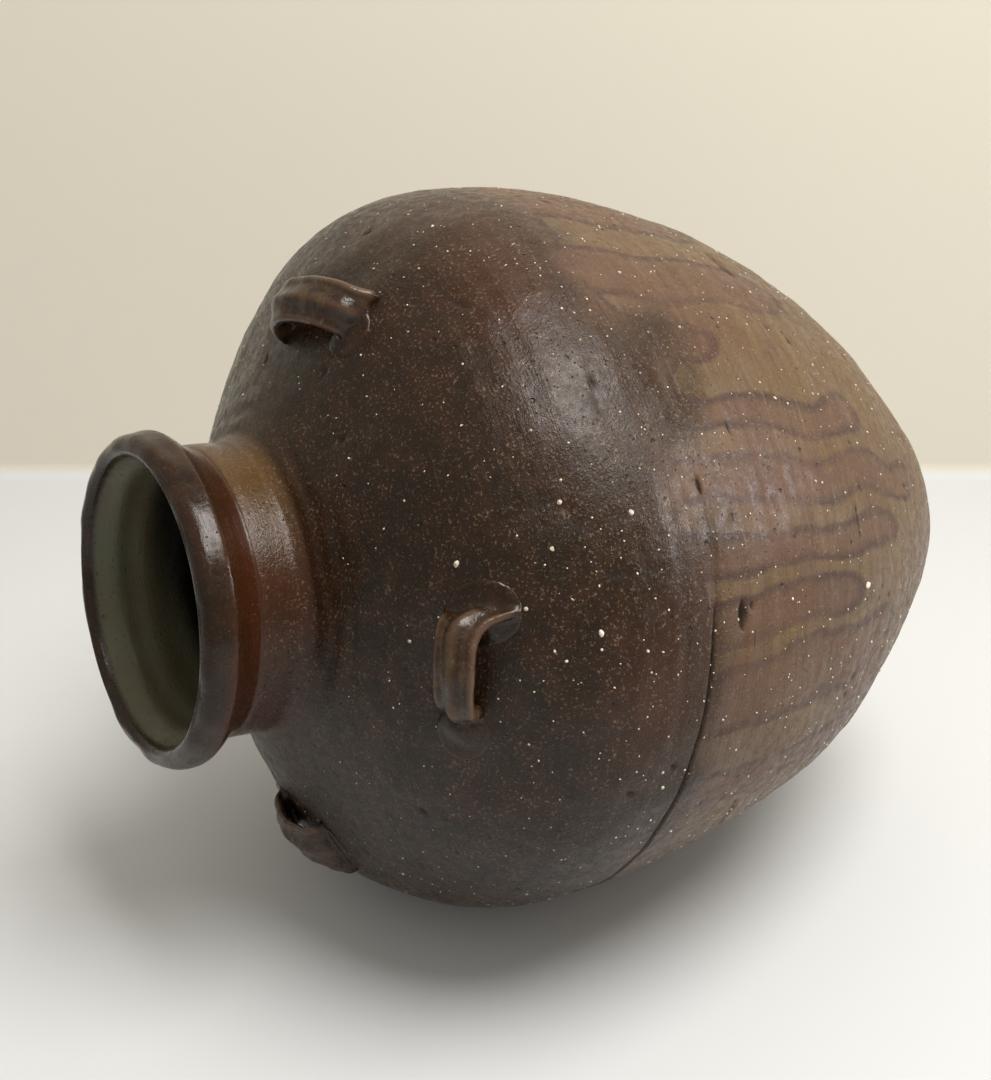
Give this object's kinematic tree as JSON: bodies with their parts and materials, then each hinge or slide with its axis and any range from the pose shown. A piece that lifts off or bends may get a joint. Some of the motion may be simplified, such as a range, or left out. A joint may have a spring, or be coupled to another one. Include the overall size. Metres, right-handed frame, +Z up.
{
  "type": "storage jar",
  "caption": "Upright stoneware storage jar: round hollow body on a narrow foot, short neck with a rolled rim, and four strap lugs on the shoulder for a tie cord.",
  "frame": {"origin": "centre of the foot's resting face", "axes": "+Z up the jar's axis towards the mouth; the lugs lie on +X, +Y, -X and -Y"},
  "size_m": [0.333, 0.333, 0.4],
  "materials": {
    "foot_clay": "unglazed fired clay, rough and worn at the edge",
    "body_glaze": "semi-gloss dark brown glaze with runs, pits and white grains",
    "neck_glaze": "semi-gloss red-brown glaze with an ochre patch",
    "rim_glaze": "glossy brown glaze, thin and worn on the crest",
    "lug_glaze": "glossy brown glaze pooled in the finger marks"
  },
  "bodies": {
    "root": {"base_slab": "foot_clay", "lower_wall": "body_glaze", "flank_wall": "body_glaze", "belly_wall": "body_glaze", "shoulder_wall": "body_glaze", "collar_wall": "body_glaze", "neck": "neck_glaze", "rim": "rim_glaze", "lug_right": "lug_glaze", "lug_back": "lug_glaze", "lug_left": "lug_glaze", "lug_front": "lug_glaze"}
  },
  "joints": []
}
